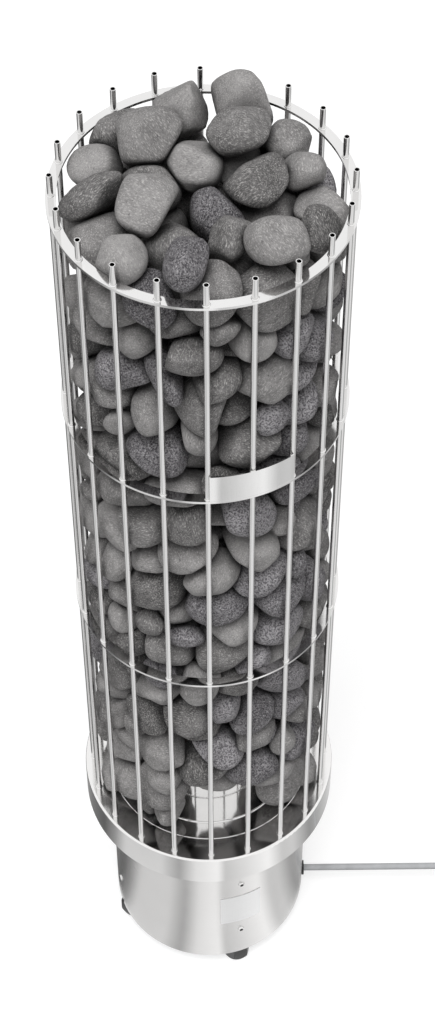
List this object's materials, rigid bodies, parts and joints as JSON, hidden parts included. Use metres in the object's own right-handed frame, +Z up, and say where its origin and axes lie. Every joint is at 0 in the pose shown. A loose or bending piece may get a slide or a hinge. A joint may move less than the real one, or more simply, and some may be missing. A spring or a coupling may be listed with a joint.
{
  "type": "sauna heater stove",
  "caption": "Floor-standing round tower sauna heater: a polished steel cage of tubes and hoops holds stones around tubular elements on a base with levelling feet.",
  "frame": {"origin": "on the floor at the heater's axis, under the middle of the four feet", "axes": "+Z up along the tower, -Y to the front with the label plate, +X to the right seen from the front"},
  "size_m": [0.4718, 0.3, 1.3208],
  "materials": {
    "polished_steel": "mirror polished stainless steel",
    "screw_steel": "polished dome heads",
    "zinc_steel": "zinc plated",
    "element_steel": "heat darkened sheath",
    "label_metal": "bare, satin",
    "foot_plastic": "black moulded",
    "gland_plastic": "black moulded",
    "grommet_rubber": "black",
    "cable_sheath": "grey, smooth",
    "lead_silicone": "white silicone",
    "ceramic": "unglazed",
    "smooth_stone": "tumbled, matte",
    "porous_stone": "speckled and pitted"
  },
  "bodies": {
    "heater": {"base_shell": "polished_steel", "bottom_plate": "zinc_steel", "cable_gland": "gland_plastic", "cable_grommet": "grommet_rubber", "cage_bar_01": "polished_steel", "cage_bar_02": "polished_steel", "cage_bar_03": "polished_steel", "cage_bar_04": "polished_steel", "cage_bar_05": "polished_steel", "cage_bar_06": "polished_steel", "cage_bar_07": "polished_steel", "cage_bar_08": "polished_steel", "cage_bar_09": "polished_steel", "cage_bar_10": "polished_steel", "cage_bar_11": "polished_steel", "cage_bar_12": "polished_steel", "cage_bar_13": "polished_steel", "cage_bar_14": "polished_steel", "cage_bar_15": "polished_steel", "cage_bar_16": "polished_steel", "cage_bar_17": "polished_steel", "cage_bar_18": "polished_steel", "cage_bar_19": "polished_steel", "cage_bar_20": "polished_steel", "collar": "polished_steel", "element_leads": "lead_silicone", "element_nuts": "zinc_steel", "flange": "polished_steel", "foot_nuts": "zinc_steel", "front_plate": "polished_steel", "heating_element_1": "element_steel", "heating_element_2": "element_steel", "heating_element_3": "element_steel", "hoop_high": "polished_steel", "hoop_low": "polished_steel", "hoop_mid": "polished_steel", "inner_deck": "polished_steel", "label_plate": "label_metal", "porous_stones_1": "porous_stone", "porous_stones_2": "porous_stone", "porous_stones_3": "porous_stone", "porous_stones_4": "porous_stone", "porous_stones_5": "porous_stone", "shell_screws": "screw_steel", "smooth_stones_1": "smooth_stone", "smooth_stones_2": "smooth_stone", "smooth_stones_3": "smooth_stone", "smooth_stones_4": "smooth_stone", "smooth_stones_5": "smooth_stone", "supply_cable": "cable_sheath", "terminal_block": "ceramic", "tie_strips": "zinc_steel"},
    "foot_front": {"foot_pad_front": "foot_plastic", "foot_stud_front": "zinc_steel"},
    "foot_right": {"foot_pad_right": "foot_plastic", "foot_stud_right": "zinc_steel"},
    "foot_back": {"foot_pad_back": "foot_plastic", "foot_stud_back": "zinc_steel"},
    "foot_left": {"foot_pad_left": "foot_plastic", "foot_stud_left": "zinc_steel"}
  },
  "joints": [
    {"name": "foot_front_travel", "type": "slide", "parent": "heater", "child": "foot_front", "axis": [0, 0, -1], "range_m": [0, 0.012]},
    {"name": "foot_right_travel", "type": "slide", "parent": "heater", "child": "foot_right", "axis": [0, 0, -1], "range_m": [0, 0.012]},
    {"name": "foot_back_travel", "type": "slide", "parent": "heater", "child": "foot_back", "axis": [0, 0, -1], "range_m": [0, 0.012]},
    {"name": "foot_left_travel", "type": "slide", "parent": "heater", "child": "foot_left", "axis": [0, 0, -1], "range_m": [0, 0.012]}
  ]
}
